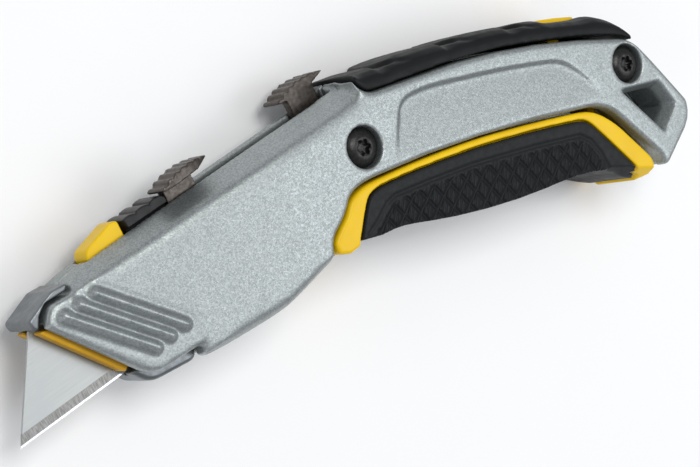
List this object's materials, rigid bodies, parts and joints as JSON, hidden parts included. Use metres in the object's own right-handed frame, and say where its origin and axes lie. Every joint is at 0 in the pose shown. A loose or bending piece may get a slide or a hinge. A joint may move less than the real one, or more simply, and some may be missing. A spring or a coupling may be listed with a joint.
{
  "type": "utility knife",
  "caption": "Retractable utility knife with two side-by-side blades on thumb sliders, a swing-down spare-blade magazine, sprung release buttons, rubber grip panels and a lanyard hole.",
  "frame": {"origin": "point of the knife's flat right side below the middle of its length, on the plane it lies on", "axes": "+X from nose to tail, +Y from the cutting side to the thumb sliders, +Z from the right side it lies on to the left side"},
  "size_m": [0.1787, 0.0528, 0.022],
  "materials": {
    "casing_paint": "speckled silver hammered paint",
    "nose_casting": "smooth satin casting",
    "guide_plastic": "satin",
    "spring_steel": "satin",
    "cover_rubber": "fine matte",
    "grip_rubber": "matte with a diagonal diamond texture",
    "black_plastic": "semi-gloss",
    "yellow_plastic": "satin",
    "black_screw": "black oxide",
    "gunmetal_casting": "cast gunmetal with brighter worn crests",
    "blade_steel": "satin ground steel, brighter ground edge"
  },
  "bodies": {
    "body": {"left_shell": "casing_paint", "right_shell": "casing_paint", "nose_frame": "nose_casting", "left_nose_guide": "guide_plastic", "right_nose_guide": "guide_plastic", "centre_plate": "spring_steel", "top_cover": "cover_rubber", "thumb_ramp": "black_plastic", "release_spring": "spring_steel", "front_screw": "black_screw", "rear_screw": "black_screw", "storage_spring": "spring_steel", "latch_pin": "spring_steel", "magazine_hinge_pin": "spring_steel"},
    "left_slider": {"left_thumb_pad": "gunmetal_casting", "left_blade_carrier": "black_plastic", "left_blade": "blade_steel", "left_detent_spring": "spring_steel"},
    "right_slider": {"right_thumb_pad": "gunmetal_casting", "right_blade_carrier": "black_plastic", "right_blade": "blade_steel", "right_detent_spring": "spring_steel"},
    "release_button": {"release_button": "yellow_plastic"},
    "storage_button": {"storage_button": "yellow_plastic"},
    "storage_latch": {"storage_latch": "black_plastic"},
    "magazine": {"magazine_frame": "yellow_plastic", "magazine_grip": "grip_rubber", "spare_blade_1": "blade_steel", "spare_blade_2": "blade_steel", "spare_blade_3": "blade_steel", "spare_blade_4": "blade_steel", "blade_clip": "spring_steel"}
  },
  "joints": [
    {"name": "left_blade_slide", "type": "slide", "parent": "body", "child": "left_slider", "axis": [0.9636, 0.2672, 0], "range_m": [0, 0.0372]},
    {"name": "right_blade_slide", "type": "slide", "parent": "body", "child": "right_slider", "axis": [-0.9636, -0.2672, 0], "range_m": [0, 0.0372]},
    {"name": "release_button_press", "type": "slide", "parent": "body", "child": "release_button", "axis": [0.2672, -0.9636, 0], "range_m": [0, 0.0015], "stiffness_N_per_m": 1500, "deforming": ["release_spring"]},
    {"name": "storage_button_press", "type": "slide", "parent": "body", "child": "storage_button", "axis": [0, -1, 0], "range_m": [0, 0.0012], "stiffness_N_per_m": 1500, "deforming": ["storage_spring"]},
    {"name": "storage_latch_turn", "type": "hinge", "parent": "body", "child": "storage_latch", "pos_m": [0.0774, 0.0072, 0.011], "axis": [0, 0, -1], "range_deg": [0, 11.5]},
    {"name": "magazine_swing", "type": "hinge", "parent": "body", "child": "magazine", "pos_m": [0.005, -0.0118, 0.011], "axis": [0, 0, -1], "range_deg": [0, 40]}
  ],
  "couplings": [
    {"joint": "storage_latch_turn", "follows": "storage_button_press", "rad_per_m": 166.67}
  ]
}
